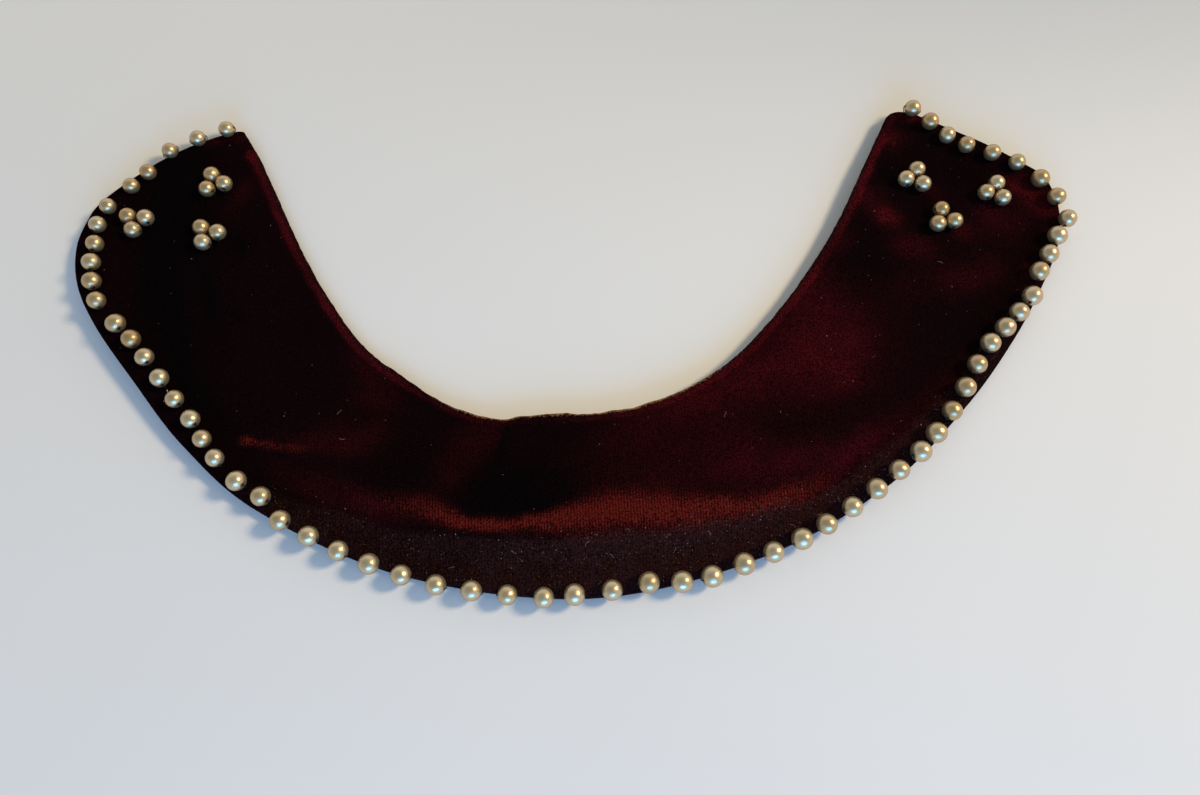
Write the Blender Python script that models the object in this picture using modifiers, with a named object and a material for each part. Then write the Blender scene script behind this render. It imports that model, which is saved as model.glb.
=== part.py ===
# Detachable velvet dress collar with pearls sewn round its outer edge and in six trefoils,
# lying open on a flat surface. Metres, +Z up. The front of the collar faces -Y and the two
# free arms point to +Y. The origin is on the surface, under the middle of the whole collar.

import math

import bmesh
import bpy
from mathutils import Vector
from mathutils.bvhtree import BVHTree

# Driving dimensions
SPAN = 0.359               # velvet from one arm's outer edge to the other's
DEPTH = 0.184              # velvet from the front edge back to the arm ends
CLOTH = 0.0024             # two layers of velvet, turned in at the edge
LIFT = 0.008               # the height that the rolls in ROLL are shares of
EDGE_ROUND = 0.0007        # rounding of the turned edge
PEARL = 0.0064             # edge pearl's mean diameter
PEARL_SPREAD = 0.02        # share by which edge pearls differ in size
TREFOIL_PEARL = 0.0060     # diameter of the pearls in the trefoils
THREAD = 0.0008            # sewing thread from pearl to pearl
THREAD_END = 0.0045        # thread left past the centre of the first and last pearl
GAP = 0.0003               # clearance between neighbouring pieces

# Fineness of the meshes
ROWS_A_SECTION = 4         # cloth rows from one section to the next
COLUMNS = 10               # cloth columns from the neck edge to the outer edge
PEARL_RINGS = 6            # rings along a pearl of a string
PEARL_SIDES = 10           # sides round a trefoil pearl
SIZE_TURN = 2.4            # radians a pearl, of the sine that makes the pearls differ in size
SEATING_STEPS = 24         # halvings that find the height of a pearl on the velvet

# The collar's plan, a row for each section from the left arm's end to the right arm's end.
# across: share of half the span, from the middle line. back: share of the depth, from the
# front edge. bow: how far the section curves towards the arm's end, as a share of its length.
SECTIONS = [
    # neck_across, neck_back, outer_across, outer_back, bow
    (-0.690, 1.000, -0.966, 0.815, 0.09),
    (-0.647, 0.925, -0.986, 0.733, 0.05),
    (-0.596, 0.815, -0.970, 0.640, 0.02),
    (-0.547, 0.709, -0.919, 0.546, 0.00),
    (-0.485, 0.597, -0.832, 0.432, 0.00),
    (-0.407, 0.486, -0.725, 0.302, 0.00),
    (-0.306, 0.401, -0.580, 0.177, 0.00),
    (-0.173, 0.332, -0.324, 0.055, 0.00),
    (0.000, 0.327, 0.000, 0.000, 0.00),
    (0.145, 0.344, 0.302, 0.052, 0.00),
    (0.279, 0.409, 0.548, 0.166, 0.00),
    (0.382, 0.502, 0.719, 0.305, 0.00),
    (0.465, 0.600, 0.839, 0.433, 0.00),
    (0.536, 0.700, 0.923, 0.545, 0.00),
    (0.596, 0.803, 0.983, 0.645, 0.01),
    (0.645, 0.888, 1.003, 0.732, 0.02),
    (0.697, 0.978, 0.992, 0.803, 0.03),
]

# How the velvet lies, in evenly spaced rows from the left arm's end to the right arm's end.
# neck, crest and outer: height of its underside over the surface at the neck edge, at the
# top of the roll and at the outer edge, as shares of LIFT. crest_at: share of the way from
# the neck edge to the outer edge. A height below 0 is pressed flat on the surface.
ROLL = [
    # neck, crest, outer, crest_at
    (0.05, 0.15, 0.30, 0.60),
    (-0.05, 0.20, 0.45, 0.60),
    (-0.10, 0.30, 0.45, 0.60),
    (0.10, 0.45, 0.15, 0.60),
    (0.35, 0.60, -0.12, 0.58),
    (0.35, 0.55, -0.12, 0.56),
    (0.40, 0.35, -0.10, 0.50),
    (0.50, 0.25, -0.05, 0.50),
    (0.35, 0.15, 0.00, 0.50),
]

# Runs of pearls along the outer edge, from the left arm's neck corner round to the right
# arm's. start and end: shares of the edge's length, of the first and last pearl's centres.
# gap: clear space between pearls, as a share of a pearl. inset: of the pearl's centre from
# the edge, as a share of a pearl. size: share of the mean diameter.
PEARL_RUNS = [
    # start, end, gap, inset_start, inset_end, size
    (0.008, 0.043, 0.90, 0.05, 0.05, 0.91),
    (0.061, 0.074, 0.42, 0.69, 0.85, 0.90),
    (0.093, 0.110, 0.84, 0.97, 1.09, 0.91),
    (0.126, 0.169, 0.44, 1.26, 0.79, 0.98),
    (0.189, 0.203, 0.37, 1.02, 1.20, 1.01),
    (0.217, 0.264, 0.61, 1.26, 1.22, 0.96),
    (0.277, 0.290, 0.36, 0.99, 0.77, 0.94),
    (0.308, 0.324, 0.56, 0.59, 0.64, 1.01),
    (0.340, 0.408, 0.66, 0.12, -0.08, 1.01),
    (0.426, 0.479, 0.71, -0.16, -0.09, 1.02),
    (0.494, 0.531, 0.74, 0.05, 0.24, 1.05),
    (0.547, 0.562, 0.34, -0.04, -0.17, 1.10),
    (0.579, 0.611, 0.46, -0.10, -0.05, 1.08),
    (0.626, 0.675, 0.52, 0.02, 0.22, 1.06),
    (0.691, 0.705, 0.27, 0.18, 0.26, 1.09),
    (0.721, 0.753, 0.49, 0.40, 0.86, 1.06),
    (0.769, 0.809, 0.23, 0.91, 0.32, 1.07),
    (0.826, 0.854, 0.31, 0.53, 0.30, 1.05),
    (0.868, 0.897, 0.40, -0.20, 0.70, 1.02),
    (0.919, 0.950, 0.59, 0.60, 1.10, 0.96),
    (0.963, 0.988, 0.27, 0.98, 0.05, 0.97),
]

# Trefoils of three pearls. across and back: as in SECTIONS. turn: degrees of the first
# pearl from +X.
TREFOILS = [
    # name, across, back, turn
    ("left_back", -0.728, 0.860, 111.0),
    ("left_outer", -0.873, 0.772, 143.0),
    ("left_front", -0.728, 0.738, 131.0),
    ("right_back", 0.707, 0.788, 70.0),
    ("right_outer", 0.867, 0.753, 69.0),
    ("right_front", 0.749, 0.693, 98.0),
]

VELVET = (0.055, 0.004, 0.010)
PEARL_LUSTRE = (0.62, 0.55, 0.42)


def smooth_row(table, place):
    """Values of a table at a place counted in rows, on a smooth curve through its rows."""
    last = len(table) - 1
    row = min(int(place), last - 1)
    t = place - row
    before, here = table[max(row - 1, 0)], table[row]
    ahead, beyond = table[row + 1], table[min(row + 2, last)]
    return [
        0.5 * (2 * b + (c - a) * t + (2 * a - 5 * b + 4 * c - d) * t**2 + (3 * b - a - 3 * c + d) * t**3)
        for a, b, c, d in zip(before, here, ahead, beyond)
    ]


def plan_point(across, back):
    """Place on the surface for shares of half the span and of the depth."""
    return Vector((across * SPAN / 2, (back - 0.5) * DEPTH, 0.0))


def ease(t):
    """Smooth step from 0 to 1."""
    return 0.5 - 0.5 * math.cos(math.pi * min(max(t, 0.0), 1.0))


def roll_height(along, over):
    """Height of the velvet's underside, along the collar and over from neck to outer edge."""
    neck, crest, outer, crest_at = smooth_row(ROLL, along * (len(ROLL) - 1))
    if over < crest_at:
        share = neck + (crest - neck) * ease(over / crest_at)
    else:
        share = crest + (outer - crest) * ease((over - crest_at) / (1.0 - crest_at))
    return max(share, 0.0) * LIFT


def cloth_point(along, over):
    """Point of the velvet's underside; along and over run from 0 to 1."""
    section = smooth_row(SECTIONS, along * (len(SECTIONS) - 1))
    neck = plan_point(*section[0:2])
    outer = plan_point(*section[2:4])
    chord = outer - neck
    side = 1.0 if along < 0.5 else -1.0
    towards_end = Vector((chord.y, -chord.x, 0.0)) * side
    point = neck + chord * over + towards_end * section[4] * 4 * over * (1 - over)
    point.z = roll_height(along, over)
    return point


def outer_edge():
    """The edge that carries pearls, from the left neck corner round to the right one."""
    rows = ROWS_A_SECTION * (len(SECTIONS) - 1)
    left_end = [cloth_point(0.0, column / COLUMNS) for column in range(COLUMNS)]
    front = [cloth_point(row / rows, 1.0) for row in range(rows + 1)]
    right_end = [cloth_point(1.0, column / COLUMNS) for column in reversed(range(COLUMNS))]
    return [Vector((point.x, point.y, 0.0)) for point in left_end + front + right_end]


def along_edge(edge, share, inset):
    """Point and direction at a share of the edge's length, moved inwards by inset."""
    lengths = [(b - a).length for a, b in zip(edge, edge[1:])]
    left = share * sum(lengths)
    step = 0
    while step < len(lengths) - 1 and left > lengths[step]:
        left -= lengths[step]
        step += 1
    direction = (edge[step + 1] - edge[step]).normalized()
    inwards = Vector((-direction.y, direction.x, 0.0))
    return edge[step] + direction * left + inwards * inset, direction


def make_material(name, colour, roughness, metallic):
    material = bpy.data.materials.new(name)
    material.use_nodes = True
    shader = material.node_tree.nodes["Principled BSDF"]
    shader.inputs["Base Color"].default_value = (*colour, 1.0)
    shader.inputs["Roughness"].default_value = roughness
    shader.inputs["Metallic"].default_value = metallic
    return material


def add_object(name, data, material, frame):
    piece = bpy.data.objects.new(name, data)
    frame.users_collection[0].objects.link(piece)
    data.materials.append(material)
    piece.parent = frame
    return piece


def velvet_collar(material, frame):
    """The velvet: a grid laid over the sections, thickened upwards, its edges rounded."""
    rows = ROWS_A_SECTION * (len(SECTIONS) - 1)
    mesh = bpy.data.meshes.new("velvet_collar")
    grid = bmesh.new()
    bmesh.ops.create_grid(grid, x_segments=rows, y_segments=COLUMNS, size=0.5)
    for vertex in grid.verts:
        vertex.co = cloth_point(vertex.co.x + 0.5, 0.5 - vertex.co.y)
    grid.to_mesh(mesh)
    grid.free()
    collar = add_object("velvet_collar", mesh, material, frame)
    wall = collar.modifiers.new("two_layers", "SOLIDIFY")
    wall.thickness = CLOTH
    wall.offset = 1.0
    rounding = collar.modifiers.new("turned_edge", "BEVEL")
    rounding.width = EDGE_ROUND
    rounding.segments = 1
    rounding.limit_method = "ANGLE"
    rounding.angle_limit = math.radians(50)
    mesh.shade_smooth()
    return collar


def seat_on(cloth, point, radius):
    """Centre of a pearl that is lowered at a point until it just clears the velvet."""
    low, high = radius, CLOTH + LIFT + 2 * radius
    for _ in range(SEATING_STEPS):
        height = (low + high) / 2
        distance = cloth.find_nearest(Vector((point.x, point.y, height)))[3]
        if distance < radius + GAP:
            low = height
        else:
            high = height
    return Vector((point.x, point.y, high))


def edge_pearls(cloth):
    """Centre, radius and direction of each pearl along the outer edge."""
    edge = outer_edge()
    length = sum((b - a).length for a, b in zip(edge, edge[1:]))
    pearls = []
    for start, end, gap, inset_start, inset_end, size in PEARL_RUNS:
        diameter = PEARL * size
        steps = max(round((end - start) * length / (diameter * (1 + gap))), 1)
        for step in range(steps + 1):
            t = step / steps
            radius = diameter / 2 * (1 + PEARL_SPREAD * math.sin(SIZE_TURN * len(pearls)))
            inset = diameter * (inset_start + (inset_end - inset_start) * t)
            point, direction = along_edge(edge, start + (end - start) * t, inset)
            pearls.append((seat_on(cloth, point, radius), radius, direction))
    return pearls


def string_of_pearls(name, pearls, start, end, material, frame):
    """One body: pearls turned along a thread, which runs on to a start and an end point."""
    points = [(start, THREAD / 2)]
    for centre, radius, direction in pearls:
        mouth = math.asin(THREAD / 2 / radius)
        for ring in range(PEARL_RINGS + 1):
            angle = mouth + (math.pi - 2 * mouth) * ring / PEARL_RINGS
            points.append((centre - direction * radius * math.cos(angle), radius * math.sin(angle)))
    points.append((end, THREAD / 2))
    curve = bpy.data.curves.new(name, "CURVE")
    curve.dimensions = "3D"
    curve.bevel_depth = PEARL / 2
    curve.bevel_resolution = 3
    curve.use_fill_caps = True
    spline = curve.splines.new("POLY")
    spline.points.add(len(points) - 1)
    for knot, (place, radius) in zip(spline.points, points):
        knot.co = (*place, 1.0)
        knot.radius = radius / curve.bevel_depth
    return add_object(name, curve, material, frame)


def trefoil_pearl(name, centre, radius, material, frame):
    mesh = bpy.data.meshes.new(name)
    ball = bmesh.new()
    bmesh.ops.create_uvsphere(ball, u_segments=PEARL_SIDES, v_segments=6, radius=radius)
    ball.to_mesh(mesh)
    ball.free()
    mesh.shade_smooth()
    pearl = add_object(name, mesh, material, frame)
    pearl.location = centre
    return pearl


def centre_over_origin(frame, pieces):
    """Moves the collar so that the middle of its outside box stands over the origin."""
    bpy.context.view_layer.update()
    evaluated = bpy.context.evaluated_depsgraph_get()
    corners = []
    for piece in pieces:
        mesh = piece.evaluated_get(evaluated).to_mesh()
        corners += [piece.matrix_world @ vertex.co for vertex in mesh.vertices]
        piece.evaluated_get(evaluated).to_mesh_clear()
    frame.location.x = -(min(c.x for c in corners) + max(c.x for c in corners)) / 2
    frame.location.y = -(min(c.y for c in corners) + max(c.y for c in corners)) / 2


def main():
    for old in list(bpy.data.objects):
        bpy.data.objects.remove(old, do_unlink=True)
    collection = bpy.data.collections.new("pearl_edged_collar")
    bpy.context.scene.collection.children.link(collection)
    frame = bpy.data.objects.new("collar_middle", None)
    collection.objects.link(frame)

    velvet = make_material("velvet", VELVET, 0.95, 0.0)
    lustre = make_material("pearl", PEARL_LUSTRE, 0.25, 0.3)

    collar = velvet_collar(velvet, frame)
    bpy.context.view_layer.update()
    cloth = BVHTree.FromObject(collar, bpy.context.evaluated_depsgraph_get())

    pearls = edge_pearls(cloth)
    half = len(pearls) // 2
    left, right = pearls[:half], pearls[half:]
    meeting = (left[-1][0] + right[0][0]) / 2
    clear = (right[0][0] - left[-1][0]).normalized() * GAP / 2
    left_end = left[0][0] - left[0][2] * THREAD_END
    right_end = right[-1][0] + right[-1][2] * THREAD_END
    pieces = [
        collar,
        string_of_pearls("edge_pearls_left", left, left_end, meeting - clear, lustre, frame),
        string_of_pearls("edge_pearls_right", right, meeting + clear, right_end, lustre, frame),
    ]

    spacing = (TREFOIL_PEARL + GAP) / math.sqrt(3)
    for name, across, back, turn in TREFOILS:
        middle = plan_point(across, back)
        for number in range(3):
            angle = math.radians(turn + 120 * number)
            point = middle + Vector((math.cos(angle), math.sin(angle), 0.0)) * spacing
            centre = seat_on(cloth, point, TREFOIL_PEARL / 2)
            pearl_name = f"trefoil_{name}_{number + 1}"
            pieces.append(trefoil_pearl(pearl_name, centre, TREFOIL_PEARL / 2, lustre, frame))
    centre_over_origin(frame, pieces)


main()
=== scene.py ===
import math
import random

import bmesh
import bpy
from mathutils import Matrix, Vector, noise
from mathutils.bvhtree import BVHTree


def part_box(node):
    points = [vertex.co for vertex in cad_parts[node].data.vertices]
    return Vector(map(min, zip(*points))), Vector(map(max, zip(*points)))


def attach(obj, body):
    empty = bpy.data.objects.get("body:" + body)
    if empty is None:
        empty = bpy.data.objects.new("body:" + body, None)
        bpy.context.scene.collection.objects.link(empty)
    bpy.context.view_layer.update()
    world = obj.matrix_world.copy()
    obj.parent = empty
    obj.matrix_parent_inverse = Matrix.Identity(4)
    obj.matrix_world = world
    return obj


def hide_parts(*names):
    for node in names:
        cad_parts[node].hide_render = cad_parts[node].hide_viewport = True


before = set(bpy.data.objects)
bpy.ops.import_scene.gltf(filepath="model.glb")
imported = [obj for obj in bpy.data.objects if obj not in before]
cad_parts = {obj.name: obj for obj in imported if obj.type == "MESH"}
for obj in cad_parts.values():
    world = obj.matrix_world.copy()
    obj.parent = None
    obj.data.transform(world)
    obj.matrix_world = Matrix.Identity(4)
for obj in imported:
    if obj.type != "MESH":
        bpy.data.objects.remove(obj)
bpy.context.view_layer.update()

mm = 0.001

# The collar's own sizes, as the CAD model has them: metres, front edge towards -Y.
collar = {
    "span": 0.359,            # velvet from one arm's outer edge to the other's
    "depth": 0.184,           # velvet from the front edge back to the arm ends
    "cloth": 0.0024,          # two layers of velvet
    "lift": 0.008,            # height that the rolls are shares of
    "centreLine": 0.430,      # length of the band along its middle
    "band": 0.060,            # width of the band
    "edgeSteps": (64, 10),    # rows and columns that the edge for the pearls is measured on
}

# neckAcross, neckBack, outerAcross, outerBack, bow, from the left arm's end to the right arm's
sections = [
    (-0.690, 1.000, -0.966, 0.815, 0.09),
    (-0.647, 0.925, -0.986, 0.733, 0.05),
    (-0.596, 0.815, -0.970, 0.640, 0.02),
    (-0.547, 0.709, -0.919, 0.546, 0.00),
    (-0.485, 0.597, -0.832, 0.432, 0.00),
    (-0.407, 0.486, -0.725, 0.302, 0.00),
    (-0.306, 0.401, -0.580, 0.177, 0.00),
    (-0.173, 0.332, -0.324, 0.055, 0.00),
    (0.000, 0.327, 0.000, 0.000, 0.00),
    (0.145, 0.344, 0.302, 0.052, 0.00),
    (0.279, 0.409, 0.548, 0.166, 0.00),
    (0.382, 0.502, 0.719, 0.305, 0.00),
    (0.465, 0.600, 0.839, 0.433, 0.00),
    (0.536, 0.700, 0.923, 0.545, 0.00),
    (0.596, 0.803, 0.983, 0.645, 0.01),
    (0.645, 0.888, 1.003, 0.732, 0.02),
    (0.697, 0.978, 0.992, 0.803, 0.03),
]

# heights at the neck edge, at the crest and at the outer edge as shares of the lift, and the
# crest's place from the neck edge, in even rows from the left arm's end to the right arm's
rolls = [
    (0.05, 0.15, 0.30, 0.60),
    (-0.05, 0.20, 0.45, 0.60),
    (-0.10, 0.30, 0.45, 0.60),
    (0.10, 0.45, 0.15, 0.60),
    (0.35, 0.60, -0.12, 0.58),
    (0.35, 0.55, -0.12, 0.56),
    (0.40, 0.35, -0.10, 0.50),
    (0.50, 0.25, -0.05, 0.50),
    (0.35, 0.15, 0.00, 0.50),
]


def smoothRow(table, place):
    last = len(table) - 1
    row = min(int(place), last - 1)
    t = place - row
    before, here = table[max(row - 1, 0)], table[row]
    ahead, beyond = table[row + 1], table[min(row + 2, last)]
    return [
        0.5 * (2 * b + (c - a) * t + (2 * a - 5 * b + 4 * c - d) * t**2 + (3 * b - a - 3 * c + d) * t**3)
        for a, b, c, d in zip(before, here, ahead, beyond)
    ]


def ease(t):
    return 0.5 - 0.5 * math.cos(math.pi * min(max(t, 0.0), 1.0))


def bell(distance, width):
    return math.exp(-((distance / width) ** 2))


# a path's values at a place along the collar, eased from row to row
def follow(path, along):
    if along <= path[0][0]:
        return path[0][1:]
    for here, ahead in zip(path, path[1:]):
        if along <= ahead[0]:
            t = ease((along - here[0]) / (ahead[0] - here[0]))
            return [a + (b - a) * t for a, b in zip(here[1:], ahead[1:])]
    return path[-1][1:]


def planPoint(across, back):
    return planMiddle + Vector((across * collar["span"] / 2, (back - 0.5) * collar["depth"], 0.0))


def rollHeight(along, over):
    neck, crest, outer, crestAt = smoothRow(rolls, along * (len(rolls) - 1))
    if over < crestAt:
        share = neck + (crest - neck) * ease(over / crestAt)
    else:
        share = crest + (outer - crest) * ease((over - crestAt) / (1.0 - crestAt))
    return max(share, 0.0) * collar["lift"]


# point of the velvet's underside; along and over run from 0 to 1
def clothPoint(along, over):
    section = smoothRow(sections, along * (len(sections) - 1))
    neck = planPoint(*section[0:2])
    outer = planPoint(*section[2:4])
    chord = outer - neck
    side = 1.0 if along < 0.5 else -1.0
    towardsEnd = Vector((chord.y, -chord.x, 0.0)) * side
    point = neck + chord * over + towardsEnd * section[4] * 4 * over * (1 - over)
    point.z = rollHeight(along, over)
    return point


# where the CAD model puts the middle of the plan
def middleOfPlan():
    rows, columns = collar["edgeSteps"]
    grid = [(row / rows, column / columns) for row in range(rows + 1) for column in range(columns + 1)]
    points = [clothPoint(along, over) for along, over in grid]
    low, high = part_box("velvet_collar")
    x = low.x + high.x - min(p.x for p in points) - max(p.x for p in points)
    y = low.y + high.y - min(p.y for p in points) - max(p.y for p in points)
    return Vector((x / 2, y / 2, 0.0))


planMiddle = Vector((0.0, 0.0, 0.0))
planMiddle = middleOfPlan()


def addPiece(name, data, materials, replaced=()):
    piece = bpy.data.objects.new(name, data)
    bpy.context.scene.collection.objects.link(piece)
    for material in materials:
        data.materials.append(material)
    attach(piece, "root")
    if replaced:
        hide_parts(*replaced)
    return piece


def colour(r, g, b):
    return (r, g, b, 1.0)


class NodeMaker:
    def __init__(self, tree):
        self.tree = tree

    # a new node; an input is another node's socket, which is linked, or a plain value
    def add(self, kind, inputs=None, **settings):
        node = self.tree.nodes.new(kind)
        for name, value in settings.items():
            setattr(node, name, value)
        for name, value in (inputs or {}).items():
            if isinstance(value, bpy.types.NodeSocket):
                self.tree.links.new(value, node.inputs[name])
            else:
                node.inputs[name].default_value = value
        return node

    def maths(self, operation, a, b=0.0, clamp=False):
        return self.add("ShaderNodeMath", {0: a, 1: b}, operation=operation, use_clamp=clamp).outputs[0]

    def mix(self, factor, a, b, blend="MIX"):
        settings = {"data_type": "RGBA", "blend_type": blend}
        return self.add("ShaderNodeMix", {0: factor, 6: a, 7: b}, **settings).outputs[2]

    def between(self, value, low, high, outLow=0.0, outHigh=1.0):
        inputs = {0: value, 1: low, 2: high, 3: outLow, 4: outHigh}
        return self.add("ShaderNodeMapRange", inputs, interpolation_type="SMOOTHSTEP").outputs[0]

    def noise(self, vector, scale, detail=2.0, roughness=0.5):
        inputs = {"Vector": vector, "Scale": scale, "Detail": detail, "Roughness": roughness}
        return self.add("ShaderNodeTexNoise", inputs).outputs["Fac"]

    def attribute(self, name):
        return self.add("ShaderNodeAttribute", attribute_name=name).outputs

    def place(self):
        return self.add("ShaderNodeTexCoord").outputs["Object"]

    def group(self, tree, inputs):
        return self.add("ShaderNodeGroup", inputs, node_tree=tree).outputs

    # straight bands; a wave texture of scale 1 has one in each 0.314 m
    def bands(self, vector, spacing, direction, distortion=0.0):
        inputs = {"Vector": vector, "Scale": 0.314 / spacing, "Distortion": distortion}
        return self.add("ShaderNodeTexWave", inputs, bands_direction=direction).outputs["Fac"]

    def times(self, a, b, clamp=False):
        return self.maths("MULTIPLY", a, b, clamp)

    def bump(self, height, strength, distance):
        inputs = {"Height": height, "Strength": strength, "Distance": distance}
        return self.add("ShaderNodeBump", inputs).outputs[0]


def newGroup(name, inputs, outputs):
    tree = bpy.data.node_groups.new(name, "ShaderNodeTree")
    for label, kind in inputs.items():
        tree.interface.new_socket(label, in_out="INPUT", socket_type="NodeSocket" + kind)
    for label, kind in outputs.items():
        tree.interface.new_socket(label, in_out="OUTPUT", socket_type="NodeSocket" + kind)
    maker = NodeMaker(tree)
    return maker, maker.add("NodeGroupInput").outputs, maker.add("NodeGroupOutput").inputs


# soft patches: a cloudy mask, sharper at its edges where the contrast is higher
def makePatchGroup():
    maker, given, out = newGroup(
        "softPatches", {"Vector": "Vector", "Size": "Float", "Contrast": "Float"}, {"Mask": "Float"}
    )
    scale = maker.maths("DIVIDE", 1.0, given["Size"])
    cloud = maker.noise(given["Vector"], scale, 4.0, 0.6)
    half = maker.maths("DIVIDE", 0.25, given["Contrast"])
    low = maker.maths("SUBTRACT", 0.5, half)
    high = maker.maths("ADD", 0.5, half)
    maker.tree.links.new(maker.between(cloud, low, high), out["Mask"])
    return maker.tree


# loose specks of dust, each a cell's middle, thinned out by the amount
def makeSpeckGroup():
    maker, given, out = newGroup(
        "dustSpecks", {"Vector": "Vector", "Spacing": "Float", "Amount": "Float"}, {"Mask": "Float"}
    )
    scale = maker.maths("DIVIDE", 1.0, given["Spacing"])
    cells = maker.add("ShaderNodeTexVoronoi", {"Vector": given["Vector"], "Scale": scale})
    near = maker.between(cells.outputs["Distance"], 0.12, 0.3, 1.0, 0.0)
    pick = maker.add("ShaderNodeSeparateColor", {0: cells.outputs["Color"]}).outputs[0]
    threshold = maker.maths("SUBTRACT", 1.0, given["Amount"])
    chosen = maker.maths("GREATER_THAN", pick, threshold)
    maker.tree.links.new(maker.times(near, chosen), out["Mask"])
    return maker.tree


def newMaterial(name, settings):
    material = bpy.data.materials.new(name)
    material.use_nodes = True
    shader = material.node_tree.nodes["Principled BSDF"]
    for label, value in settings.items():
        shader.inputs[label].default_value = value
    return material, NodeMaker(material.node_tree), shader


def feed(maker, shader, **sources):
    for label, socket in sources.items():
        maker.tree.links.new(socket, shader.inputs[label.replace("_", " ")])


velvetLook = {
    "plain": colour(0.0046, 0.0015, 0.0020),
    # painted shade
    "paintedShade": colour(0.0015, 0.0013, 0.0014),
    # brushed pile with painted sheen
    "wine": colour(0.050, 0.0034, 0.0050),
    # painted sheen of the crushed pile
    "glow": colour(0.090, 0.0085, 0.0058),
    # dust with painted sheen
    "dust": colour(0.0190, 0.0072, 0.0076),
    "fold": colour(0.230, 0.110, 0.048),
    "speck": colour(0.095, 0.072, 0.072),
    "rib": 0.00095,           # from one rib of the ground weave to the next
    "tuft": 0.00060,
}


def makeVelvetMaterial():
    look = velvetLook
    material, maker, shader = newMaterial(
        "burgundyVelvet",
        {
            "Roughness": 1.0,
            "Specular IOR Level": 0.0,
            "Sheen Weight": 0.35,
            "Sheen Roughness": 0.42,
            "Sheen Tint": colour(0.10, 0.024, 0.027),
        },
    )
    place = maker.place()
    marks = maker.add("ShaderNodeSeparateColor", {0: maker.attribute("nap")["Color"]}).outputs
    shade = maker.attribute("shade")["Fac"]
    fold = maker.attribute("fold")["Fac"]
    cloud = maker.group(softPatches, {"Vector": place, "Size": 0.011, "Contrast": 0.8})["Mask"]
    mottle = maker.group(softPatches, {"Vector": place, "Size": 0.0028, "Contrast": 0.7})["Mask"]
    tufts = maker.noise(place, 1 / look["tuft"], 2.0, 0.6)
    ribs = maker.bands(place, look["rib"], "X", 1.6)

    # the marks of painted sheen, painted shade and dust, each broken up by the cloudy masks, the tufts and
    # the ribs
    uneven = maker.maths("ADD", maker.times(cloud, 0.5), maker.times(mottle, 0.35))
    uneven = maker.maths("ADD", uneven, 0.55)
    grain = maker.between(tufts, 0.3, 0.7, 0.38, 1.65)
    ribbed = maker.between(ribs, 0.1, 0.9, 0.60, 1.35)
    softGrain = maker.between(tufts, 0.3, 0.7, 0.62, 1.38)
    # wine marks, brushed pile with painted sheen, and the painted highlight along the neck edge
    wine = maker.times(maker.times(marks[1], uneven), softGrain, True)
    # painted sheen: the red band over the low roll
    glow = maker.times(maker.times(marks[0], ribbed), grain, True)
    # dust with painted sheen over the outer band
    dust = maker.times(marks[2], maker.times(uneven, grain), True)
    # painted shade in the dark lobes of the folds
    tone = maker.mix(shade, look["plain"], look["paintedShade"])
    tone = maker.mix(wine, tone, look["wine"])
    tone = maker.mix(dust, tone, look["dust"])
    tone = maker.mix(glow, tone, look["glow"])

    # the whole pile goes darker and lighter with its tufts and ribs
    pile = maker.times(grain, maker.between(ribs, 0.1, 0.9, 0.86, 1.10))
    darker = maker.mix(1.0, tone, colour(0.55, 0.55, 0.55), "MULTIPLY")
    lighter = maker.mix(1.0, tone, colour(1.4, 1.4, 1.4), "MULTIPLY")
    tone = maker.mix(maker.between(pile, 0.30, 1.75), darker, lighter)

    # the golden line at the neck fold, ragged by the tufts, and loose dust
    ragged = maker.maths("ADD", fold, maker.times(maker.maths("SUBTRACT", tufts, 0.5), 1.5))
    tone = maker.mix(maker.between(ragged, 0.42, 0.80), tone, look["fold"])
    amount = maker.maths("ADD", maker.times(marks[2], 0.16), 0.006)
    specks = maker.group(dustSpecks, {"Vector": place, "Spacing": 0.0008, "Amount": amount})["Mask"]
    tone = maker.mix(maker.times(specks, 0.8), tone, look["speck"])
    height = maker.maths("ADD", tufts, maker.times(ribs, 0.25))
    feed(maker, shader, Base_Color=tone, Normal=maker.bump(height, 0.6, 0.0004))
    return material


liningLook = {
    "thread": colour(0.20, 0.12, 0.055),
    "shade": colour(0.09, 0.05, 0.024),
    "weave": 0.00045,         # from one thread to the next
}


def makeLiningMaterial():
    look = liningLook
    material, maker, shader = newMaterial("liningSatin", {"Roughness": 0.5, "Sheen Weight": 0.2})
    place = maker.place()
    weave = maker.maths("MAXIMUM", *(maker.bands(place, look["weave"], way) for way in "XY"))
    cloud = maker.group(softPatches, {"Vector": place, "Size": 0.02, "Contrast": 0.6})["Mask"]
    shadeBy = maker.times(weave, maker.between(cloud, 0.0, 1.0, 0.6, 1.0))
    tone = maker.mix(shadeBy, look["shade"], look["thread"])
    feed(maker, shader, Base_Color=tone, Normal=maker.bump(weave, 0.4, 0.0001))
    return material


pearlLook = {
    "light": colour(0.66, 0.53, 0.33),
    "deep": colour(0.48, 0.29, 0.100),
    "worn": colour(0.10, 0.055, 0.025),
    "rim": colour(0.42, 0.20, 0.05),
    "lacquer": 0.0019,        # size of the lacquer's waves
}


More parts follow.
